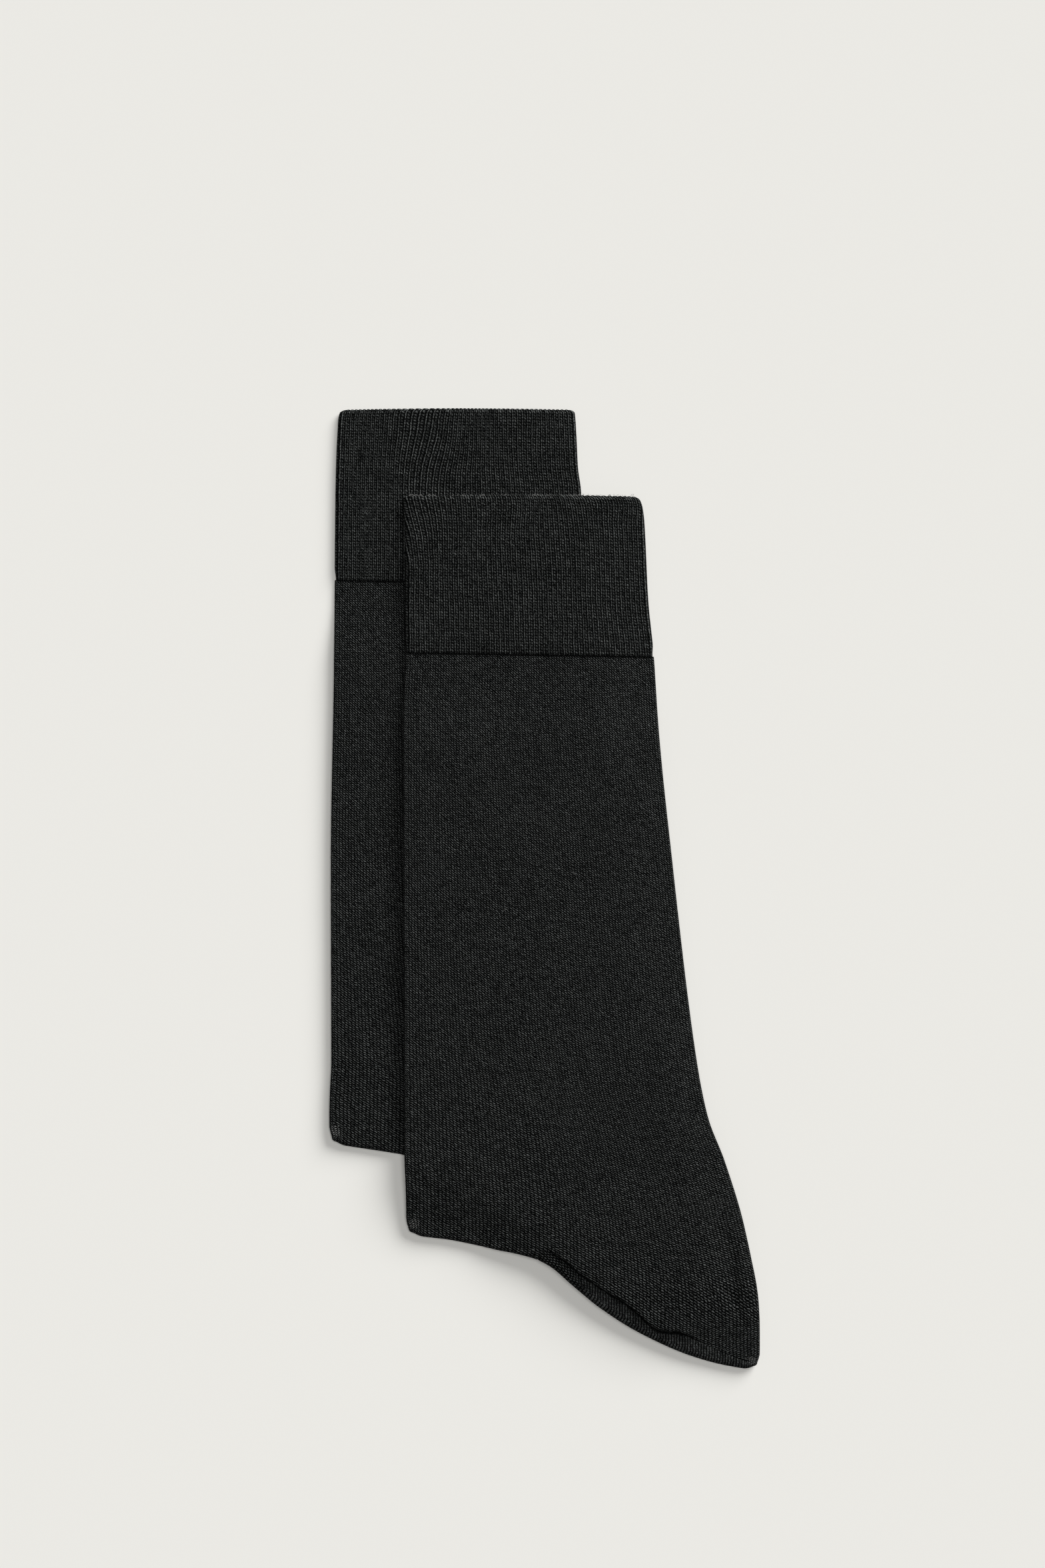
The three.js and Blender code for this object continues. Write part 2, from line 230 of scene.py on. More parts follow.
# Where the ribs of a cuff lean: x, the y where it begins and where it is full, half width, shift
FRONT_LEANS = [
    (-53, 119, 150, 11, -4.0),
    (-10, 131, 147, 10, 1.3),
    (29, 136, 147, 9, 1.6),
    (8, 100, 90, 14, -0.6),
]
BACK_LEANS = [
    (-54, 90, 100, 15, -3.4),
    (-38, 147, 174, 15, 3.9),
    (-5, 165, 180, 9, 0.9),
]


def mix(a, b, part):
    return a + (b - a) * part


def smooth(part):
    t = np.clip(part, 0, 1)
    return t * t * (3 - 2 * t)


def read(rows, place):
    """A smooth curve through a table: its second column for values of its first."""
    table = np.array(sorted(rows), float)
    keys = table[:, 0]
    values = table[:, 1]
    gaps = np.diff(keys)
    slopes = np.diff(values) / gaps
    product = slopes[:-1] * slopes[1:]
    total = np.where(product > 0, slopes[:-1] + slopes[1:], 1)
    inner = np.where(product > 0, 2 * product / total, 0)
    tangents = np.concatenate([slopes[:1], inner, slopes[-1:]])
    place = np.clip(place, keys[0], keys[-1])
    i = np.clip(np.searchsorted(keys, place, side="right") - 1, 0, len(gaps) - 1)
    t = (place - keys[i]) / gaps[i]
    before = (tangents[i] - slopes[i]) * (1 - t)
    after = (tangents[i + 1] - slopes[i]) * t
    return mix(values[i], values[i + 1], t) + t * (1 - t) * gaps[i] * (before - after)


def moved(rows, first, second):
    return [(a + first, b + second) for a, b in rows]


LOWER_RIGHT = LOWER_RIGHT_SEEN + moved(UPPER_RIGHT[5:], SHIFT[1], SHIFT[0])
LOWER_TURN = LOWER_TURN_SEEN + moved(UPPER_TURN[4:], SHIFT[0], SHIFT[1])


def height_under_upper(x, y):
    """The lower sock, then a soft fall to the floor."""
    on_fold = FOOT_LIFT + LOOSE_GAP + 2 * WALL
    top = REST_GAP + mix(on_fold, 2 * CUFF_HALF, smooth((y - 88) / RAMP_LONG))
    past_right = np.maximum(0, x - read(LOWER_RIGHT, y) - FALL_START) / FALL_RIGHT
    past_below = np.maximum(0, read(LOWER_TURN, x) - y - FALL_START) / FALL_BELOW
    return top * (1 - smooth(np.hypot(past_right, past_below)))


UPPER = {
    "name": "front",
    "left": UPPER_LEFT,
    "right": UPPER_RIGHT,
    "turn": UPPER_TURN,
    "cuff_top": 147.9,
    "seam_left": 88.9,
    "seam_right": 87.4,
    "toe_end": 55,
    "ribs": 48,
    "leans": FRONT_LEANS,
    "swells": SWELLS,
    "corners": UPPER_CORNERS,
    "rests": height_under_upper,
    "seed": 3,
}
LOWER = {
    "name": "back",
    "left": LOWER_LEFT,
    "right": LOWER_RIGHT,
    "turn": LOWER_TURN,
    "cuff_top": 180.5,
    "seam_left": 116.1,
    "seam_right": 114.9,
    "toe_end": 88,
    "ribs": 49,
    "leans": BACK_LEANS,
    "swells": [],
    "corners": LOWER_CORNERS,
    "rests": lambda x, y: np.zeros_like(x),
    "seed": 8,
}


def unevenness(x, y, size, seed):
    """Soft random waves of about that size, between about -1 and 1."""
    random = np.random.default_rng(seed)
    total = np.zeros_like(x)
    for turn, phase, stretch in random.uniform(0, 1, (9, 3)):
        angle = 2 * math.pi * turn
        wave = size * (0.7 + 0.9 * stretch)
        along = x * math.cos(angle) + y * math.sin(angle)
        total += np.sin(2 * math.pi * (along / wave + phase))
    return total / 4


CORNER_BLUNT = 5


def round_corners(rows, x, y):
    """Draws a square corner of the plan into a round one."""
    for corner_x, corner_y, way_x, way_y, radius in rows:
        a = way_x * (x - corner_x) / radius + 1
        b = way_y * (y - corner_y) / radius + 1
        inside = (a > 0) & (b > 0)
        deep_a = np.clip(a, 0, 2)
        deep_b = np.clip(b, 0, 2)
        blunt = (deep_a**CORNER_BLUNT + deep_b**CORNER_BLUNT) ** (1 / CORNER_BLUNT)
        pull = blunt / np.maximum(np.hypot(deep_a, deep_b), 1e-6)
        x = np.where(inside, corner_x + way_x * (a * pull - 1) * radius, x)
        y = np.where(inside, corner_y + way_y * (b * pull - 1) * radius, y)
    return x, y


def turn_start(sock, across):
    """The line in plan on which the turn begins, and the turn's outward direction."""
    first = sock["turn"][0][0] + WALL
    last = sock["turn"][-1][0] - WALL
    x = mix(first, last, across)
    fall = read(sock["turn"], x + 0.5) - read(sock["turn"], x - 0.5)
    size = np.hypot(1, fall)
    out_x = fall / size
    out_y = -1 / size
    start_y = read(sock["turn"], x) - out_y * TURN_HEIGHT
    return x - out_x * TURN_HEIGHT, start_y, out_x, out_y


def middle(sock, across, path):
    """Middle of the flattened tube in plan: path 0 to 1 the leg, to 2 the turn, to 3 the foot."""
    start_x, start_y, out_x, out_y = turn_start(sock, across)
    begin_x, begin_y, _, _ = turn_start(sock, np.zeros(1))
    end_x, end_y, _, _ = turn_start(sock, np.ones(1))
    on_foot = path > 2
    on_turn = (path >= 1) & (path <= 2)
    part = np.where(on_foot, path - 2, np.clip(path, 0, 1))
    toe = sock["toe_end"]
    left_y = np.where(on_foot, mix(begin_y, toe, part), mix(sock["seam_left"], begin_y, part))
    right_y = np.where(on_foot, mix(end_y, toe, part), mix(sock["seam_right"], end_y, part))
    inset = np.where(on_foot, FOOT_INSET * smooth(part / FOOT_INSET_RUN), 0)
    left_x = read(sock["left"], left_y) + inset + WALL
    right_x = read(sock["right"], right_y) - inset - WALL
    from_turn = np.where(on_foot, part / FOOT_INSET_RUN, (1 - part) / EDGE_RUN)
    near_turn = 1 - smooth(from_turn)
    left_x = mix(left_x, begin_x, near_turn)
    right_x = mix(right_x, end_x, near_turn)
    into_toe = np.clip((mix(left_y, right_y, 0.5) - toe + TOE_LONG) / TOE_LONG, 0, 1)
    narrow = np.where(on_foot, (1 - into_toe**TOE_BLUNT) ** (1 / TOE_BLUNT), 1)
    centre = mix(left_x, right_x, 0.5)
    left_x = mix(centre, left_x, narrow)
    right_x = mix(centre, right_x, narrow)
    bowed = 1 - smooth(np.where(on_foot, part * LEG_TO_FOOT, 1 - part) / BOW_RUN)
    x = mix(left_x, right_x, across) + bowed * (start_x - mix(begin_x, end_x, across))
    y = mix(left_y, right_y, across) + bowed * (start_y - mix(begin_y, end_y, across))
    return np.where(on_turn, start_x, x), np.where(on_turn, start_y, y), out_x, out_y


def across_way(sock, across, path):
    """Unit direction across the cloth, in plan."""
    ax, ay, _, _ = middle(sock, np.maximum(0, across - 0.01), path)
    bx, by, _, _ = middle(sock, np.minimum(1, across + 0.01), path)
    size = np.hypot(bx - ax, by - ay)
    return (bx - ax) / size, (by - ay) / size


def swelling(rows, x, y):
    rise = np.zeros_like(x)
    for mid_x, mid_y, turn, long, wide, high in rows:
        angle = math.radians(turn)
        along = (x - mid_x) * math.cos(angle) + (y - mid_y) * math.sin(angle)
        aside = (y - mid_y) * math.cos(angle) - (x - mid_x) * math.sin(angle)
        rise += high * np.exp(-((along / long) ** 2) - (aside / wide) ** 2)
    return rise


def cloth_point(sock, across, aside, up, path, relief=None):
    """A point of the swept cloth: aside past its end, up from its middle."""
    mid_x, mid_y, out_x, out_y = middle(sock, across, path)
    way_x, way_y = across_way(sock, across, path)
    x = mid_x + way_x * aside
    y = mid_y + way_y * aside
    angle = math.pi * np.clip(path - 1, 0, 1)
    floor = sock["rests"](x, y)
    face = np.where(up > 0, 1 - smooth(np.abs(aside) / WALL), 0)
    up = up + face * np.where(path < 1.3, swelling(sock["swells"], x, y), 0)
    if relief is not None:
        up = up + face * relief(x, y)
    reach = TURN_RADIUS + up
    turning = np.where((angle > 0) & (angle < math.pi), np.sin(angle), 0)
    x = x + out_x * reach * turning
    y = y + out_y * reach * turning
    down = smooth((y - sock["toe_end"] + RAMP_LEAD) / RAMP_LONG)
    loose = LOOSE_GAP * smooth((1 - path) / LOOSE_RUN)
    on_leg = WALL + (FOOT_LIFT + loose) * (1 - down) + up
    rise = np.where(path <= 1, on_leg, TURN_HEIGHT + reach * np.cos(angle))
    x, y = round_corners(sock["corners"], x, y)
    return np.stack([x, y, floor + rise], axis=-1)


def flat_loop(spans, under, steps):
    """Section of a flattened tube of half thickness 1: across, aside and up of its points."""
    angles = math.pi * np.arange(1, steps) / steps
    top = np.linspace(0, 1, spans + 1)
    across = np.concatenate([top, np.ones(steps - 1), np.linspace(1, 0, under + 1), np.zeros(steps - 1)])
    flat = np.zeros(spans + 1)
    beneath = np.zeros(under + 1)
    aside = np.concatenate([flat, np.sin(angles), beneath, -np.sin(angles[::-1])])
    up = np.concatenate([flat + 1, np.cos(angles), beneath - 1, np.cos(angles[::-1])])
    return across, aside, up


def loop_places(spans, under, steps, width):
    """Place of each point of that section round the tube, in shares of one face, and the whole."""
    edge = math.pi * WALL / width
    round_edge = edge * np.arange(1, steps) / steps
    top = np.linspace(0, 1, spans + 1)
    beneath = 1 + edge + np.linspace(0, 1, under + 1)
    last = 2 + edge + round_edge
    return np.concatenate([top, 1 + round_edge, beneath, last]), 2 + 2 * edge


def make_tube(name, points, u, v, whole, marks):
    """A mesh over rows of closed loops: one map counts stitches, one tells how near its edges are."""
    rows, columns, _ = points.shape
    row = np.arange(rows)
    column = np.arange(columns)
    r, c = np.meshgrid(row, column, indexing="ij")
    next_r = (r + 1) % rows
    next_c = (c + 1) % columns
    corners = np.stack([r * columns + c, r * columns + next_c, next_r * columns + next_c,
                        next_r * columns + c], axis=-1).reshape(-1, 4)
    turned = np.where(next_c == 0, whole, 0)
    us = np.stack([u[r, c], u[r, next_c] + turned, u[next_r, next_c] + turned, u[next_r, c]], axis=-1)
    vs = np.stack([v[r, c], v[r, next_c], v[next_r, next_c], v[next_r, c]], axis=-1)
    placed = (points + np.array([TABLE_X, TABLE_Y, 0])) * MM
    flat = placed.reshape(-1, 3)
    a, b, d = (flat[corners[:, k]] for k in (0, 1, 3))
    volume = np.einsum("ij,ij->i", a, np.cross(b, d)).sum()
    if volume < 0:
        corners = corners[:, ::-1]
        us = us[..., ::-1]
        vs = vs[..., ::-1]
    mesh = bpy.data.meshes.new(name)
    mesh.vertices.add(len(flat))
    mesh.vertices.foreach_set("co", flat.astype(np.float32).ravel())
    mesh.loops.add(corners.size)
    mesh.loops.foreach_set("vertex_index", corners.astype(np.int32).ravel())
    mesh.polygons.add(len(corners))
    mesh.polygons.foreach_set("loop_start", np.arange(0, corners.size, 4, dtype=np.int32))
    mesh.polygons.foreach_set("use_smooth", np.ones(len(corners), bool))
    mesh.update(calc_edges=True)
    layer = mesh.uv_layers.new(name="knit")
    uv = np.stack([us.reshape(-1, 4), vs.reshape(-1, 4)], axis=-1)
    layer.data.foreach_set("uv", uv.astype(np.float32).ravel())
    layer = mesh.uv_layers.new(name="edges")
    near = np.stack([mark.ravel()[corners] for mark in marks], axis=-1)
    layer.data.foreach_set("uv", near.astype(np.float32).ravel())
    mesh.validate()
    made = bpy.data.objects.new(name, mesh)
    bpy.context.collection.objects.link(made)
    return made


def gore_path(sock, across):
    """Where the leg ends and the heel begins on the path, the lip there, and millimetres per path."""
    back_x, back_y = (0, 0) if sock is UPPER else SHIFT
    low = np.full_like(across, 0.8)
    high = np.ones_like(across)
    for _ in range(24):
        half = (low + high) / 2
        x, y, _, _ = middle(sock, across, np.minimum(half, 0.99999))
        above = y - back_y > read(GORE, x - back_x)
        low = np.where(above, half, low)
        high = np.where(above, high, half)
    start_x, start_y, out_x, out_y = turn_start(sock, across)
    past = np.maximum(0, start_y - back_y - read(GORE, start_x - back_x)) * -out_y
    on_turn = 1 + np.arcsin(np.clip(past / (TURN_RADIUS + WALL), 0, 1)) / math.pi
    end = np.where(high < 0.99999, high, on_turn)
    x, y, _, _ = middle(sock, across, np.minimum(end, 0.99999))
    lip = read(GORE_LIP, x - back_x) * smooth((1.5 - end) / 0.3)
    ax, ay, _, _ = middle(sock, across, np.full_like(across, 0.96))
    bx, by, _, _ = middle(sock, across, np.full_like(across, 0.9999))
    return end, lip, np.hypot(bx - ax, by - ay) / 0.0399


# Relief of the leg's upper face: slight puffs, and bands that run with the courses
def leg_relief(sock):
    seed = sock["seed"]

    def relief(x, y):
        puffs = 0.14 * unevenness(x, y, 24, seed) + 0.05 * unevenness(x, y, 7, seed + 1)
        bands = 0.04 * unevenness(x / 6, y, 5, seed + 2)
        return puffs + bands

    return relief


def course_count(sock, across, path):
    """Courses counted along the leg and on round the turn."""
    x, y, _, _ = middle(sock, across, np.minimum(path, 1))
    round_turn = np.maximum(0, path - 1) * math.pi * TURN_HEIGHT / COURSE
    width = read(sock["right"], y) - read(sock["left"], y)
    shift = sock["cuff_top"] - UPPER["cuff_top"]
    slope = read(COURSE_SLOPE, y - shift)
    closer = HEEL_CLOSER * across**2 * np.maximum(0, HEEL_CLOSER_FROM - (y - shift))
    return (y - slope * width / 2 * across**2 - closer) / COURSE - round_turn


# Spans across the upper and lower face, rows along the piece, and the usual width of a face
LEG_SPANS = 110
LEG_UNDER = 36
LEG_ROWS = 190
LEG_WIDTH = 105
HEEL_SPANS = 150
HEEL_UNDER = 60
HEEL_WIDTH = 140
HEEL_FACE = 145
FOOT_SPANS = 60
FOOT_UNDER = 40
FOOT_ROWS = 60
CUFF_WIDTH = 90
EDGE_STEPS = 7
SEAM_GROOVE = 0.25
# Where the heel ends under the turn, and the foot begins
UNDER_END = 2 + 4 * 0.02 / LEG_TO_FOOT


def make_leg(sock):
    across, aside, up = flat_loop(LEG_SPANS, LEG_UNDER, EDGE_STEPS)
    places, whole = loop_places(LEG_SPANS, LEG_UNDER, EDGE_STEPS, LEG_WIDTH)
    end, lip, per_path = gore_path(sock, across)
    flat_end = np.minimum(1, end) - 0.02
    shares = np.linspace(0, 1, LEG_ROWS)[:, None]
    last = np.linspace(0, 1, 15)[1:, None]
    path = np.concatenate([flat_end * shares, flat_end + (end - flat_end) * last])
    from_end = np.maximum(0, end - path) * per_path
    face = np.where(up > 0, 1, 0)
    puff = 1.5 * lip * np.exp(-((np.maximum(0, from_end - 0.8) / 4.0) ** 2)) * face
    near = np.clip(from_end / 0.8, 0, 1)
    drop = (0.35 * smooth(lip / 0.3) + 1.6 * lip) * smooth((1.45 - end) / 0.1)
    roll = drop * (1 - np.sqrt(near * (2 - near))) * face
    from_seam = path * per_path
    groove = SEAM_GROOVE * (1 - smooth(from_seam / 0.9)) * face
    outer_up = up * WALL + puff - roll - groove
    outer = cloth_point(sock, across, aside * WALL, outer_up, path, leg_relief(sock))
    inner_rows = np.concatenate([path[:LEG_ROWS:9], path[LEG_ROWS + 2::4]])
    inner = cloth_point(sock, across, aside * HOLLOW, up * HOLLOW, inner_rows)
    points = np.concatenate([outer, inner[::-1]])
    u = places * WALES * np.ones((len(points), 1))
    all_path = np.concatenate([path, inner_rows[::-1]])
    v = course_count(sock, across * np.ones_like(all_path), all_path)
    # The first map carries the painted shade at the seam under the cuff. The second carries the painted
    # shade under the lip at the leg's end and is pushed far off where there is no lip.
    plain = FAR * (1 - smooth(lip / 0.3))
    marks = (all_path * per_path, np.maximum(0, end - all_path) * per_path + plain)
    return make_tube(f"{sock['name']}_leg_knit", points, u, v, whole * WALES, marks)


def make_heel(sock):
    across, aside, up = flat_loop(HEEL_SPANS, HEEL_UNDER, EDGE_STEPS)
    places, whole = loop_places(HEEL_SPANS, HEEL_UNDER, EDGE_STEPS, HEEL_WIDTH)
    begin, lip, per_path = gore_path(sock, across)
    band_end = np.maximum(1, begin + 0.03)
    band = np.linspace(0, 1, 14)[:, None]
    bend = np.linspace(0, 1, 22)[1:, None]
    under = np.linspace(0, 1, 12)[1:, None]
    beneath = mix(2, UNDER_END, under) * np.ones_like(begin)
    path = np.concatenate([mix(begin, band_end, band), mix(band_end, 2, bend), beneath])
    from_gore = np.maximum(0, path - begin) * per_path
    face = np.where((up > 0) & (path < 1.5), 1, 0)
    deep = (0.3 + 0.15 * lip) * smooth(lip / 0.3)
    groove = deep * (1 - smooth(from_gore / 3.0)) * face
    outer = cloth_point(sock, across, aside * WALL, up * WALL - groove, path)
    inner_path = path[::4]
    inner = cloth_point(sock, across, aside * HOLLOW, up * HOLLOW, inner_path)
    points = np.concatenate([outer, inner[::-1]])
    length = HEEL_FACE / HEEL_WALE
    u = places * length * np.ones((len(points), 1))
    all_path = np.concatenate([path, inner_path[::-1]])
    on_turn = np.clip(all_path - 1, 0, 1) * math.pi * TURN_HEIGHT
    on_band = np.minimum(all_path, 1) * per_path + np.maximum(0, all_path - 2) * per_path
    v = -(on_band + on_turn) / HEEL_COURSE
    # The second map carries the painted shade under the leg's lip, made wider where the lip stands
    # highest.
    past_gore = np.maximum(0, all_path - begin) * per_path
    plain = FAR * (1 - smooth(lip / 0.3))
    marks = (np.full_like(v, FAR), past_gore / (0.5 + 0.9 * lip**2) + plain)
    return make_tube(f"{sock['name']}_heel_knit", points, u, v, whole * length, marks)


def make_foot(sock):
    across, aside, up = flat_loop(FOOT_SPANS, FOOT_UNDER, EDGE_STEPS)
    places, whole = loop_places(FOOT_SPANS, FOOT_UNDER, EDGE_STEPS, LEG_WIDTH)
    flat = np.linspace(0, 1, FOOT_ROWS)
    toe = 1 - (1 - np.linspace(0, 1, 18)[1:]) ** 2
    path = np.concatenate([mix(UNDER_END, 2.82, flat), mix(2.82, 2.985, toe)])[:, None]
    path = path * np.ones_like(across)
    closing = 1 - 0.75 * smooth((path - 2.95) / 0.035)
    outer = cloth_point(sock, across, aside * WALL * closing, up * WALL * closing, path)
    inner_path = np.minimum(path[::5], 2.955)
    inner = cloth_point(sock, across, aside * HOLLOW, up * HOLLOW, inner_path)
    points = np.concatenate([outer, inner[::-1]])
    u = places * WALES * np.ones((len(points), 1))
    v = -points[..., 1] / COURSE
    far = np.full_like(v, FAR)
    return make_tube(f"{sock['name']}_foot_knit", points, u, v, whole * WALES, (far, far))


RIB_SAMPLES = 6
CUFF_UNDER = 60
RIB_DEEP = 0.22
STITCH_HIGH = 0.08
RIM_BUMP = 0.28


def lean(rows, x, y):
    """How far the ribs are shifted to the right there."""
    shift = np.zeros_like(x)
    for mid_x, begin, full, wide, size in rows:
        shift += size * np.exp(-(((x - mid_x) / wide) ** 2)) * smooth((y - begin) / (full - begin))
    return shift


def rib_profile(place):
    """Height of the rib across its pitch, 0 in the gap and 1 on its crest."""
    phase = place - np.floor(place)
    return smooth(phase / 0.16) * (1 - smooth((phase - 0.66) / 0.26))


def make_cuff(sock):
    ribs = sock["ribs"]
    spans = ribs * RIB_SAMPLES
    across, aside, up = flat_loop(spans, CUFF_UNDER, EDGE_STEPS)
    places, whole = loop_places(spans, CUFF_UNDER, EDGE_STEPS, CUFF_WIDTH)
    height = sock["cuff_top"] - sock["seam_left"]
    courses = int(round(height / RIB_COURSE))
    outer_part = np.linspace(1, 0.75 / height, courses * 4)
    rim = np.linspace(0, math.pi, 8)[1:-1]
    inner_part = np.linspace(0.75 / height, 1, 8)
    part = np.concatenate([outer_part, (0.75 - 0.75 * np.sin(rim)) / height, inner_part])[:, None]
    near_seam = 1 - 0.3 * (1 - smooth((1 - outer_part) * height / 5))
    radius = 0.75
    half = np.concatenate([CUFF_HALF * near_seam, CUFF_HALF - radius + radius * np.cos(rim),
                           CUFF_HOLLOW * np.ones(8)])[:, None]
    left_y = mix(sock["cuff_top"], sock["seam_left"], part)
    right_y = mix(sock["cuff_top"], sock["seam_right"], part)
    left_x = read(sock["left"], left_y) + CUFF_HALF
    right_x = read(sock["right"], right_y) - CUFF_HALF
    middle_of = np.sin(math.pi * across)
    wave = 0.007 * middle_of * np.sin(2 * math.pi * (1.1 * part + across))
    placed = across + wave * (1 - part)
    x = mix(left_x, right_x, placed) + aside * half
    y = mix(left_y, right_y, placed) - 0.5 * (1 - middle_of) * (1 - smooth(part / 0.3))
    pitch = (right_x - left_x) / ribs
    whole_ribs = round(whole * ribs)
    u = places * whole_ribs / whole - lean(sock["leans"], x, y) / pitch
    course = part * courses * np.ones_like(across)
    top = np.where(up > 0, 1, 0) * (1 - smooth(np.abs(aside) / 0.9))
    on_face = top * np.clip((half - 0.6) / 0.9, 0, 1)
    phase = u - np.floor(u)
    stitch = 0.5 + 0.5 * np.cos(2 * math.pi * (course - 1.1 * (phase - 0.5) / 0.4))
    profile = rib_profile(u)
    relief = RIB_DEEP * (profile - 1) + STITCH_HIGH * stitch * profile
    groove = SEAM_GROOVE * (1 - smooth((1 - part) * height))
    z = sock["rests"](x, y) + CUFF_HALF + up * half + on_face * (relief - groove)
    rim_bump = RIM_BUMP * (profile - 0.5) * top * (1 - smooth(part * height / 2.5))
    y = y + rim_bump
    points = np.stack([x, y, z], axis=-1)
    v = -part * courses * np.ones_like(across)
    from_rim = part * height * np.ones_like(across)
    # The maps give millimetres from the seam, for the painted shade there, and from the rim, for the
    # rim's painted highlight.
    marks = (height - from_rim, from_rim)
    return make_tube(f"{sock['name']}_cuff_knit", points, u, v, whole_ribs, marks)


# Materials. Each knit draws its stitches from the UV map, which counts ribs or wales and courses.
class Nodes:
    def __init__(self, name):
        self.material = bpy.data.materials.new(name)
        self.material.use_nodes = True
        self.tree = self.material.node_tree
        self.shader = self.tree.nodes["Principled BSDF"]

    def add(self, kind, **settings):
        made = self.tree.nodes.new(kind)
        for key, value in settings.items():
            setattr(made, key, value)
        return made

    def link(self, source, target):
        self.tree.links.new(source, target)

    def put(self, socket, value):
        if isinstance(value, (int, float)):
            socket.default_value = value
        elif isinstance(value, tuple):
            socket.default_value = value
        else:
            self.link(value, socket)

    def math(self, operation, *values):
        made = self.add("ShaderNodeMath", operation=operation)
        for socket, value in zip(made.inputs, values):
            self.put(socket, value)
        return made.outputs[0]

    def noise(self, vector, scale, detail=2.0, rough=0.5):
        made = self.add("ShaderNodeTexNoise")
        self.put(made.inputs["Vector"], vector)
        made.inputs["Scale"].default_value = scale
        made.inputs["Detail"].default_value = detail
        made.inputs["Roughness"].default_value = rough
        return made.outputs["Fac"]

    def flat(self, vector):
        """The vector without its height."""
        made = self.add("ShaderNodeVectorMath", operation="MULTIPLY")
        self.link(vector, made.inputs[0])
        made.inputs[1].default_value = (1, 1, 0)
        return made.outputs["Vector"]

    def ramp(self, value, low, high, from_value=0.0, to_value=1.0):
        made = self.add("ShaderNodeMapRange", interpolation_type="SMOOTHSTEP")
        self.put(made.inputs["Value"], value)
        made.inputs["From Min"].default_value = low
        made.inputs["From Max"].default_value = high
        made.inputs["To Min"].default_value = from_value
        made.inputs["To Max"].default_value = to_value
        return made.outputs["Result"]

    def blend(self, part, first, second):
        made = self.add("ShaderNodeMix", data_type="RGBA")
        self.put(made.inputs[0], part)
        self.put(made.inputs[6], first)
        self.put(made.inputs[7], second)
        return made.outputs[2]


def stitch_space(nodes, coarse, fine):
    """The stitch coordinates, wavering a little, and the object's own coordinates."""
    uv = nodes.add("ShaderNodeUVMap", uv_map="knit").outputs["UV"]
    place = nodes.add("ShaderNodeTexCoord").outputs["Object"]
    split = nodes.add("ShaderNodeSeparateXYZ")
    nodes.link(uv, split.inputs[0])
    slow = nodes.math("SUBTRACT", nodes.noise(place, 130, 2), 0.5)
    quick_u = nodes.math("SUBTRACT", nodes.noise(place, 900, 1), 0.5)
    quick_v = nodes.math("SUBTRACT", nodes.noise(place, 1000, 1), 0.5)
    slow = nodes.math("MULTIPLY", slow, coarse)
    u = nodes.math("ADD", split.outputs[0], nodes.math("MULTIPLY_ADD", quick_u, fine, slow))
    v = nodes.math("ADD", split.outputs[1], nodes.math("MULTIPLY_ADD", quick_v, fine * 1.4, slow))
    return place, u, v


def edge_space(nodes):
    """Millimetres from the seam under the cuff, and from the other edge of the piece. The plain knits
    paint shade near both; the rib paints shade at the seam and a highlight at the rim.
    """
    near = nodes.add("ShaderNodeUVMap", uv_map="edges").outputs["UV"]
    split = nodes.add("ShaderNodeSeparateXYZ")
    nodes.link(near, split.inputs[0])
    return split.outputs[0], split.outputs[1]


# Corners where the knit is stretched open, so that the pale ground shows: x, y and radius
OPEN_CORNERS = [
    (-48.9, -125.2, 3.8),
    (77.9, -176.7, 3.2),
    (-78.3, -90.4, 4.2),
]
PALE = (0.2, 0.2, 0.193, 1)


def open_knit(nodes, place, u, v):
    """Where the ground shows between the stitches of the stretched corners."""
    near = 0.0
    for x, y, radius in OPEN_CORNERS:
        away = nodes.add("ShaderNodeVectorMath", operation="DISTANCE")
        nodes.link(nodes.flat(place), away.inputs[0])
        away.inputs[1].default_value = ((x + TABLE_X) * MM, (y + TABLE_Y) * MM, 0)
        here = nodes.ramp(away.outputs["Value"], radius * 0.3 * MM, radius * MM, 1.0, 0.0)
        near = nodes.math("MAXIMUM", near, here)
    over_u = nodes.math("COSINE", nodes.math("MULTIPLY", u, 1.15 * 2 * math.pi))
    over_v = nodes.math("COSINE", nodes.math("MULTIPLY", nodes.math("ADD", v, 0.5), 2 * math.pi))
    gap = nodes.math("ADD", nodes.math("MULTIPLY", nodes.math("ADD", over_u, over_v), 0.5), near)
    return nodes.math("MULTIPLY", nodes.ramp(gap, 1.45, 1.75), near)


def cloth_finish(nodes, tone, dark, light, place, gap=None):
    """Colour from the tone of the stitches and the yarn's fine fuzz, and the bump."""
    fuzz = nodes.math("SUBTRACT", nodes.noise(place, 2600, 3, 0.75), 0.5)
    patch = nodes.ramp(nodes.noise(place, 45, 2), 0.3, 0.7, 0.97, 1.03)
    fuzzy = nodes.math("MULTIPLY_ADD", fuzz, FUZZ, nodes.math("MULTIPLY", tone, patch))
    part = nodes.math("POWER", nodes.math("MAXIMUM", fuzzy, 0.0), TONE_CURVE)
    colour = nodes.blend(part, dark, light)
    if gap is not None:
        colour = nodes.blend(gap, colour, PALE)
    nodes.link(colour, nodes.shader.inputs["Base Color"])
    bump = nodes.add("ShaderNodeBump")
    bump.inputs["Strength"].default_value = 0.8
    bump.inputs["Distance"].default_value = 0.00025
    nodes.put(bump.inputs["Height"], tone)
    nodes.link(bump.outputs[0], nodes.shader.inputs["Normal"])
    nodes.shader.inputs["Roughness"].default_value = 0.95
    nodes.shader.inputs["Specular IOR Level"].default_value = 0.02
    nodes.shader.inputs["Sheen Weight"].default_value = 0.005
    nodes.shader.inputs["Sheen Roughness"].default_value = 0.4


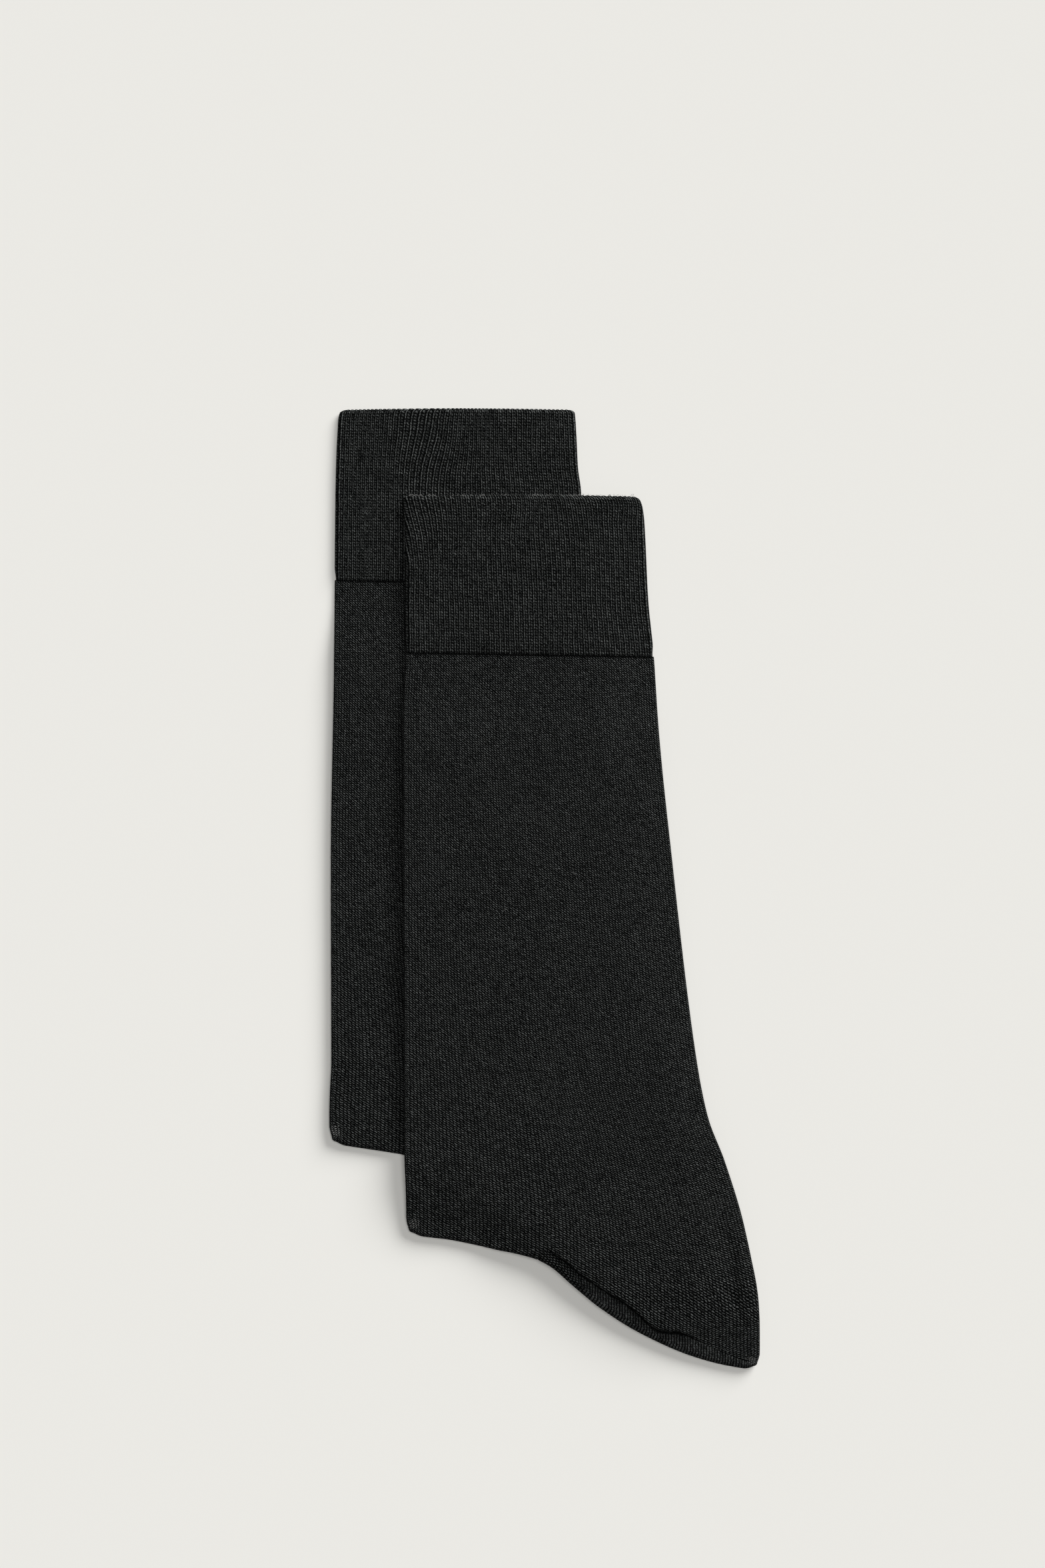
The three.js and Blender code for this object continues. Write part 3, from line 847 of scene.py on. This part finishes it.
def each_stitch(nodes, wale, course, spread, streak_rate, streak_size):
    """A tone for each stitch, the yarn's own streaks, and a few pale stitches."""
    cell = nodes.add("ShaderNodeCombineXYZ")
    nodes.put(cell.inputs[0], nodes.math("FLOOR", wale))
    nodes.put(cell.inputs[1], nodes.math("FLOOR", nodes.math("ADD", course, 0.5)))
    random = nodes.add("ShaderNodeTexWhiteNoise", noise_dimensions="2D")
    nodes.link(cell.outputs[0], random.inputs["Vector"])
    single = nodes.math("MULTIPLY_ADD", random.outputs["Value"], 2 * spread, 1 - spread)
    pale = nodes.math("GREATER_THAN", random.outputs["Value"], 0.99)
    single = nodes.math("MULTIPLY_ADD", pale, spread, single)
    stretched = nodes.add("ShaderNodeCombineXYZ")
    nodes.put(stretched.inputs[0], nodes.math("MULTIPLY", wale, streak_rate[0]))
    nodes.put(stretched.inputs[1], nodes.math("MULTIPLY", course, streak_rate[1]))
    drift = nodes.noise(stretched.outputs[0], 1.0, 2, 0.6)
    streak = nodes.ramp(drift, 0.32, 0.68, 1 - streak_size, 1 + streak_size)
    return nodes.math("MULTIPLY", single, streak)


def plain_knit(name, light, slant, band):
    """Fine plain knit: short slanting stitches with dark holes between, or the heel's fine stripes. The
    stitches' brightness is partly painted sheen and the holes' darkness partly painted shade; painted
    shade also runs along the cuff seam and under the leg's lip at the gore line.
    """
    nodes = Nodes(name)
    place, u, v = stitch_space(nodes, 0.5 - 0.25 * band, 0.55 - 0.2 * band)
    from_seam, from_gore = edge_space(nodes)
    aside = nodes.math("SUBTRACT", nodes.math("FRACT", u), 0.5)
    phase = nodes.math("ADD", v, nodes.math("MULTIPLY", aside, slant))
    wave = nodes.math("COSINE", nodes.math("MULTIPLY", phase, 2 * math.pi))
    dash = nodes.ramp(nodes.math("MULTIPLY_ADD", wave, 0.5, 0.5), 0.25, 0.9)
    if band:
        split = nodes.add("ShaderNodeSeparateXYZ")
        nodes.link(place, split.inputs[0])
        striped = nodes.ramp(split.outputs[0], 0.002, 0.02, 0.0, band)
        short = nodes.math("SUBTRACT", 0.85, dash)
        dash = nodes.math("ADD", dash, nodes.math("MULTIPLY", short, striped))
    window = nodes.ramp(nodes.math("ABSOLUTE", aside), 0.2, 0.48, 1.0, 0.3 if band == 0 else 0.0)
    stitch = nodes.math("MULTIPLY", nodes.math("MULTIPLY", dash, window), PLAIN_STITCH)
    stitch = nodes.math("MULTIPLY", stitch, each_stitch(nodes, u, phase, 0.24, (0.22, 0.8), 0.06))
    tone = nodes.math("ADD", stitch, PLAIN_GROUND)
    # Painted shade in the gore seam under the leg's lip, with a ripple at each wale and a little wander;
    # the maps leave it out where there is no lip.
    wale_ripple = nodes.math("COSINE", nodes.math("MULTIPLY", u, 2 * math.pi))
    wander = nodes.math("MULTIPLY", nodes.math("SUBTRACT", nodes.noise(place, 700, 2), 0.5), 1.4)
    edge = nodes.math("ADD", from_gore, nodes.math("MULTIPLY_ADD", wale_ripple, 0.2, wander))
    tone = nodes.math("MULTIPLY", tone, nodes.ramp(edge, 0.0, 0.75, 0.2, 1.0))
    # Painted shade along the groove of the seam under the cuff: the knit darkens towards it.
    tone = nodes.math("MULTIPLY", tone, nodes.ramp(from_seam, 0.1, 0.8, 0.6, 1.0))
    gap = open_knit(nodes, place, u, v)
    cloth_finish(nodes, tone, DARK, light, place, gap)
    return nodes.material


def rib_knit(name, light):
    """One-by-one rib: a bright line, a column of slanting stitches, dark gaps beside them. The line and
    stitches are partly painted sheen and the gaps partly painted shade; painted shade runs along the
    seam and a painted highlight along the rim.
    """
    nodes = Nodes(name)
    place, u, v = stitch_space(nodes, 0.25, 0.22)
    from_seam, from_rim = edge_space(nodes)
    phase = nodes.math("FRACT", u)
    off_line = nodes.math("DIVIDE", nodes.math("SUBTRACT", phase, 0.14), 0.1)
    line = nodes.math("EXPONENT", nodes.math("MULTIPLY", nodes.math("POWER", off_line, 2), -1.0))
    beat = nodes.math("COSINE", nodes.math("MULTIPLY", v, 2 * math.pi))
    line = nodes.math("MULTIPLY", line, nodes.math("MULTIPLY_ADD", beat, 0.26, 0.98))
    slant = nodes.math("MULTIPLY", nodes.math("SUBTRACT", phase, 0.5), 1.0)
    course = nodes.math("ADD", v, slant)
    wave = nodes.math("COSINE", nodes.math("MULTIPLY", course, 2 * math.pi))
    dash = nodes.ramp(nodes.math("MULTIPLY_ADD", wave, 0.5, 0.5), 0.2, 0.95, 0.22, 0.66)
    from_mid = nodes.math("ABSOLUTE", nodes.math("SUBTRACT", phase, 0.62))
    dash = nodes.math("MULTIPLY", dash, nodes.ramp(from_mid, 0.08, 0.3, 1.0, 0.0))
    stitch = nodes.math("MULTIPLY", nodes.math("MAXIMUM", line, dash), RIB_STITCH)
    stitch = nodes.math("MULTIPLY", stitch, each_stitch(nodes, u, course, 0.21, (0.9, 0.12), 0.1))
    tone = nodes.math("ADD", stitch, RIB_GROUND)
    # Painted highlight along the cuff's rim, where its edge catches the light, broken up by noise.
    loops = nodes.ramp(nodes.noise(place, 330, 2), 0.42, 0.6)
    rim = nodes.math("MULTIPLY_ADD", nodes.ramp(from_rim, 0.4, 1.8, 1.4, 0.0), loops, 1.0)
    tone = nodes.math("MULTIPLY", tone, rim)
    # Painted shade along the groove of the seam under the cuff: the rib darkens towards it.
    tone = nodes.math("MULTIPLY", tone, nodes.ramp(from_seam, 0.0, 0.7, 0.7, 1.0))
    cloth_finish(nodes, tone, DARK, light, place)
    return nodes.material


# Tones are as the eye sees them: 1 is the palest stitch, the curve makes them light
TONE_CURVE = 2.2
FUZZ = 2.3
PLAIN_STITCH = 0.84
PLAIN_GROUND = 0.0
RIB_STITCH = 0.83
RIB_GROUND = 0.02
# The pale colours are the yarn with its sheen partly painted in; DARK is the holes with their shade
# partly painted in.
DARK = (0.0004, 0.0005, 0.0005, 1)
RIB = rib_knit("rib_knit_black", (0.116, 0.1225, 0.1187, 1))
PLAIN = plain_knit("plain_knit_black", (0.0825, 0.087, 0.0848, 1), 0.95, 0.0)
HEEL = plain_knit("heel_knit_black", (0.066, 0.0695, 0.068, 1), 0.5, 0.8)

for sock in (UPPER, LOWER):
    side = sock["name"]
    for part_name, maker, material, slot in (
        ("cuff", make_cuff, RIB, "rib_knit"),
        ("leg", make_leg, PLAIN, "plain_knit"),
        ("heel", make_heel, HEEL, "heel_knit"),
        ("foot", make_foot, PLAIN, "plain_knit"),
    ):
        piece = maker(sock)
        piece.data.materials.append(material)
        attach(piece, "root")
        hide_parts(f"{side}_{part_name}")

# Pale fibres: loops of yarn that stand out of the front cuff's rim, as x and width, and loose
# ends on the leg, as x, y, direction in degrees and length
RIM_LOOPS = [
    (-50.6, 1.8),
    (-48.8, 1.5),
    (-47.0, 1.2),
    (-43.8, 1.2),
    (-42.2, 1.0),
    (-31.0, 0.8),
    (-23.8, 1.3),
    (-4.4, 0.9),
    (-3.0, 0.9),
    (12.4, 0.8),
    (24.0, 0.8),
]
LOOSE_ENDS = [
    (-15.5, -8.1, 20, 1.8),
    (-14.2, -7.4, 80, 1.0),
    (10.0, 6.6, -35, 1.9),
]
FIBRE_SIDES = 5
FIBRE_STEPS = 9
FIBRE_RADIUS = 0.08
LOOP_RADIUS = 0.12
LOOP_HIGH = 0.35
CUFF_FIBRES = 45


def arc(start, way, length, bow, radius):
    """A bowed fibre in plan, with a small rise in its middle: its points and its radius."""
    t = np.linspace(0, 1, FIBRE_STEPS)
    swell = 4 * t * (1 - t)
    x = start[0] + way[0] * length * t - way[1] * bow * swell
    y = start[1] + way[1] * length * t + way[0] * bow * swell
    return np.stack([x, y, start[2] + 0.12 * swell], axis=-1), radius


def fibre_lines():
    lines = []
    rim = UPPER["cuff_top"] - 0.3
    rim_height = float(height_under_upper(np.array(0.0), np.array(rim))) + 2 * CUFF_HALF
    for x, width in RIM_LOOPS:
        lines.append(arc((x, rim, rim_height - 0.25), (1, 0), width, LOOP_HIGH, LOOP_RADIUS))
    random = np.random.default_rng(21)
    for place, turn, size, bow in random.uniform(0, 1, (CUFF_FIBRES, 4)):
        angle = math.radians(mix(20, 160, turn))
        start = (mix(-52, 33, place), rim - 0.1, rim_height - 0.3)
        way = (math.cos(angle), math.sin(angle))
        lines.append(arc(start, way, mix(0.4, 1.1, size), mix(-0.3, 0.3, bow), FIBRE_RADIUS * 0.7))
    for x, y, turn, length in LOOSE_ENDS:
        rest = float(height_under_upper(np.array(x), np.array(y)))
        top = rest + 2 * WALL + FOOT_LIFT + LOOSE_GAP + 0.1
        way = (math.cos(math.radians(turn)), math.sin(math.radians(turn)))
        lines.append(arc((x, y, top), way, length, 0.4, FIBRE_RADIUS * 0.6))
    return lines


def make_fibres(name, lines):
    """All fibres as one mesh of thin closed tubes."""
    points = []
    faces = []
    turns = 2 * math.pi * np.arange(FIBRE_SIDES) / FIBRE_SIDES
    for line, radius in lines:
        first = len(points)
        along = np.gradient(line, axis=0)
        along /= np.linalg.norm(along, axis=1)[:, None]
        aside = np.cross(along, (0, 0, 1))
        aside /= np.linalg.norm(aside, axis=1)[:, None]
        over = np.cross(aside, along)
        for centre, a, b in zip(line, aside, over):
            for turn in turns:
                points.append(tuple((centre + radius * (math.cos(turn) * a + math.sin(turn) * b)
                                     + (TABLE_X, TABLE_Y, 0)) * MM))
        for step in range(FIBRE_STEPS - 1):
            low = first + step * FIBRE_SIDES
            for k in range(FIBRE_SIDES):
                after = (k + 1) % FIBRE_SIDES
                faces.append((low + k, low + after, low + FIBRE_SIDES + after, low + FIBRE_SIDES + k))
        last = first + (FIBRE_STEPS - 1) * FIBRE_SIDES
        faces.append(tuple(first + k for k in reversed(range(FIBRE_SIDES))))
        faces.append(tuple(last + k for k in range(FIBRE_SIDES)))
    mesh = bpy.data.meshes.new(name)
    mesh.from_pydata(points, [], faces)
    mesh.validate()
    made_fibres = bpy.data.objects.new(name, mesh)
    bpy.context.collection.objects.link(made_fibres)
    return made_fibres


fibre_nodes = Nodes("pale_fibre")
fibre_nodes.shader.inputs["Base Color"].default_value = (0.14, 0.14, 0.135, 1)
fibre_nodes.shader.inputs["Roughness"].default_value = 0.8
fibres = make_fibres("front_loose_fibres", fibre_lines())
fibres.data.materials.append(fibre_nodes.material)
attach(fibres, "root")

# Floor, light and camera
floor_mesh = bpy.data.meshes.new("floor")
SPAN = 3.0
floor_mesh.from_pydata([(-SPAN, -SPAN, 0), (SPAN, -SPAN, 0), (SPAN, SPAN, 0), (-SPAN, SPAN, 0)], [],
                       [(0, 1, 2, 3)])
floor = bpy.data.objects.new("floor", floor_mesh)
bpy.context.collection.objects.link(floor)
floor_nodes = Nodes("floor_paper")
floor_nodes.shader.inputs["Base Color"].default_value = (0.8, 0.79, 0.752, 1)
floor_nodes.shader.inputs["Roughness"].default_value = 1.0
floor_nodes.shader.inputs["Specular IOR Level"].default_value = 0.0
floor_mesh.materials.append(floor_nodes.material)

# Lights: name, height and direction in degrees, strength, and width in degrees
LIGHTS = [
    ("key", 31, 50, 3.12, 38),
    ("overhead", 86, 50, 1.4, 24),
]
for light_name, height, direction, strength, wide in LIGHTS:
    sun_data = bpy.data.lights.new(light_name, "SUN")
    sun_data.energy = strength
    sun_data.angle = math.radians(wide)
    sun = bpy.data.objects.new(light_name, sun_data)
    sun.rotation_mode = "XYZ"
    sun.rotation_euler = (0, math.radians(90 - height), math.radians(direction))
    bpy.context.collection.objects.link(sun)

world = bpy.data.worlds.new("studio")
world.use_nodes = True
world.node_tree.nodes["Background"].inputs["Color"].default_value = (1, 1, 1, 1)
world.node_tree.nodes["Background"].inputs["Strength"].default_value = 0.08
bpy.context.scene.world = world

CAMERA_HEIGHT = 2.4
FIELD_LONG = 0.588
camera_data = bpy.data.cameras.new("camera")
camera_data.sensor_width = 36
camera_data.lens = 36 * CAMERA_HEIGHT / FIELD_LONG
camera = bpy.data.objects.new("camera", camera_data)
camera.location = (-8.63 * MM, 39.26 * MM, CAMERA_HEIGHT + 0.004)
bpy.context.collection.objects.link(camera)
bpy.context.scene.camera = camera
bpy.context.scene.view_settings.view_transform = "Standard"
